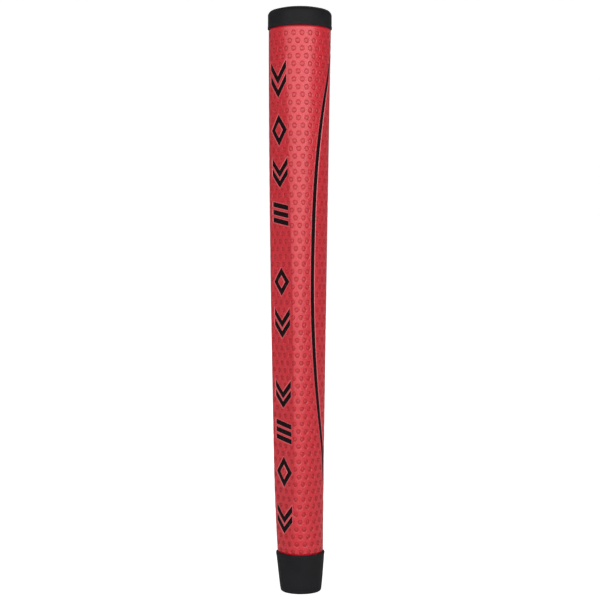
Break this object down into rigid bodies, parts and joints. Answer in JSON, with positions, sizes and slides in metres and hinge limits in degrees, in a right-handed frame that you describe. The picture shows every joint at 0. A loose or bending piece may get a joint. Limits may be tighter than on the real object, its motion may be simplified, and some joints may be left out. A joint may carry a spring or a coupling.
{
  "type": "putter grip",
  "caption": "Putter grip with a flat front: a textured red wrap over a moulded sleeve with a parallel shaft bore, between black rubber butt and mouth caps.",
  "frame": {"origin": "centre of the mouth's end face, on the axis of the shaft bore", "axes": "+Z along the bore from the mouth to the butt end; the flat front faces -Y; +X is to the right when looking at the flat front"},
  "size_m": [0.0282, 0.0287, 0.2667],
  "materials": {
    "cap_rubber": "fine matte moulded rubber",
    "sleeve_rubber": "matte closed-cell rubber",
    "felt": "dense grey felt",
    "wrap_polyurethane": "soft satin polyurethane, embossed with small rings",
    "seam_filler": "smooth satin filler in a darker red",
    "black_ink": "satin black ink"
  },
  "bodies": {
    "root": {"butt_cap": "cap_rubber", "mouth_cap": "cap_rubber", "core_sleeve": "sleeve_rubber", "wrap_backing": "felt", "wrap_skin": "wrap_polyurethane", "back_seam": "seam_filler", "side_line_right": "black_ink", "side_line_left": "black_ink", "front_marks": "black_ink"}
  },
  "joints": []
}
